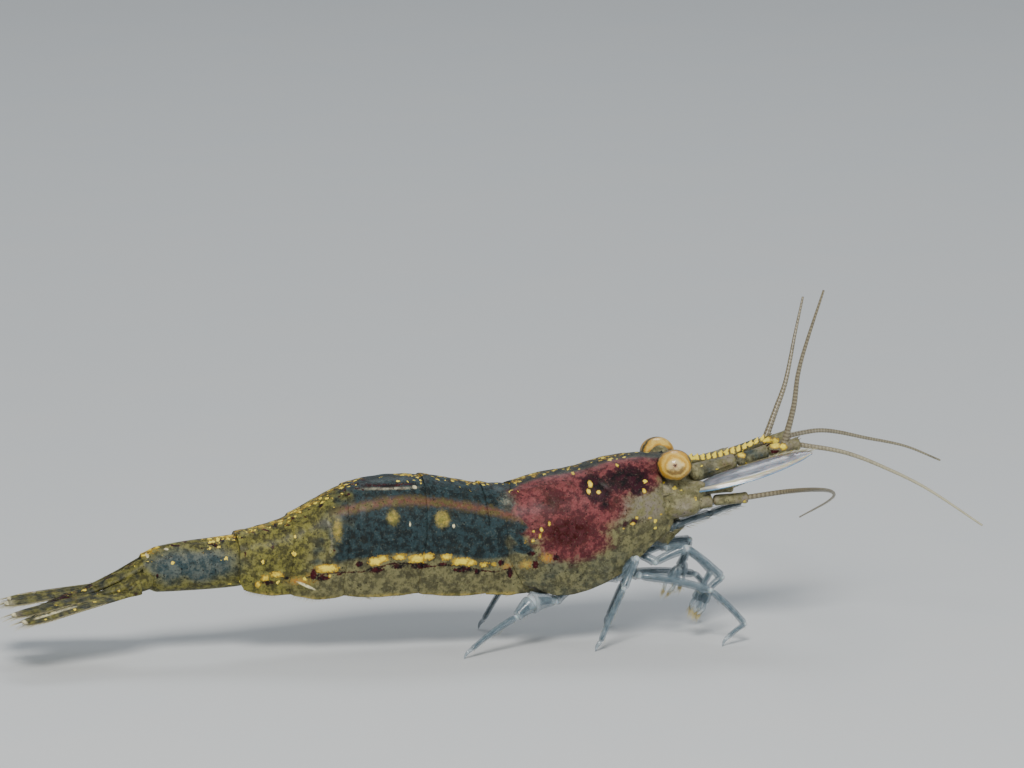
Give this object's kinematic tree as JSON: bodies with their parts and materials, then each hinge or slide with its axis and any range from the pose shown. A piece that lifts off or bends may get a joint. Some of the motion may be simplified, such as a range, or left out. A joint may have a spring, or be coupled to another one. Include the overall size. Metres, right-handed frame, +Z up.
{
  "type": "dwarf freshwater aquarium shrimp",
  "caption": "Life-size still model of a see-through dwarf freshwater shrimp, standing on its walking legs with its feelers spread.",
  "frame": {"origin": "on the ground, under the middle of the animal's bounding box", "axes": "+X towards the head, +Y to the animal's left, +Z up"},
  "size_m": [0.0364, 0.0326, 0.013],
  "materials": {
    "carapace_shell": "see-through shell over maroon flesh, with gold dots along the back, damp satin",
    "soft_body": "see-through olive-grey flesh with dark specks, damp satin",
    "abdomen_shell": "see-through shell over slate muscle with olive flanks and gold bars, damp satin",
    "tail_fan": "thin see-through blades, olive with cream tips and a hair fringe, damp satin",
    "limbs": "glassy blue-white with milky joints",
    "feelers": "dull gold-grey, ringed along their length",
    "antennal_scales": "milky blue blade with a cream outer rib",
    "eyes": "pale gold ball with a dark centre, glossy"
  },
  "bodies": {
    "root": {"abdomen_1": "abdomen_shell", "abdomen_2": "abdomen_shell", "abdomen_3": "abdomen_shell", "abdomen_4": "abdomen_shell", "abdomen_5": "abdomen_shell", "abdomen_6": "abdomen_shell", "antenna_left": "soft_body", "antenna_right": "soft_body", "antenna_scale_left": "antennal_scales", "antenna_scale_right": "antennal_scales", "antenna_whip_left": "feelers", "antenna_whip_right": "feelers", "antennule_feeler_forward_left": "feelers", "antennule_feeler_forward_right": "feelers", "antennule_feeler_raised_left": "feelers", "antennule_feeler_raised_right": "feelers", "antennule_left": "soft_body", "antennule_right": "soft_body", "carapace": "carapace_shell", "claw_1_left": "limbs", "claw_1_right": "limbs", "claw_2_left": "limbs", "claw_2_right": "limbs", "eye_left": "eyes", "eye_right": "eyes", "eyestalk_left": "soft_body", "eyestalk_right": "soft_body", "head": "soft_body", "leg_1_left": "limbs", "leg_1_right": "limbs", "leg_2_left": "limbs", "leg_2_right": "limbs", "leg_3_left": "limbs", "leg_3_right": "limbs", "leg_4_left": "limbs", "leg_4_right": "limbs", "leg_5_left": "limbs", "leg_5_right": "limbs", "maxilliped_left": "limbs", "maxilliped_right": "limbs", "mouthparts": "soft_body", "swimmeret_1_left": "limbs", "swimmeret_1_right": "limbs", "swimmeret_2_left": "limbs", "swimmeret_2_right": "limbs", "swimmeret_3_left": "limbs", "swimmeret_3_right": "limbs", "swimmeret_4_left": "limbs", "swimmeret_4_right": "limbs", "swimmeret_5_left": "limbs", "swimmeret_5_right": "limbs", "tail_inner_left": "tail_fan", "tail_inner_right": "tail_fan", "tail_outer_left": "tail_fan", "tail_outer_right": "tail_fan", "telson": "tail_fan", "thorax": "soft_body"}
  },
  "joints": []
}
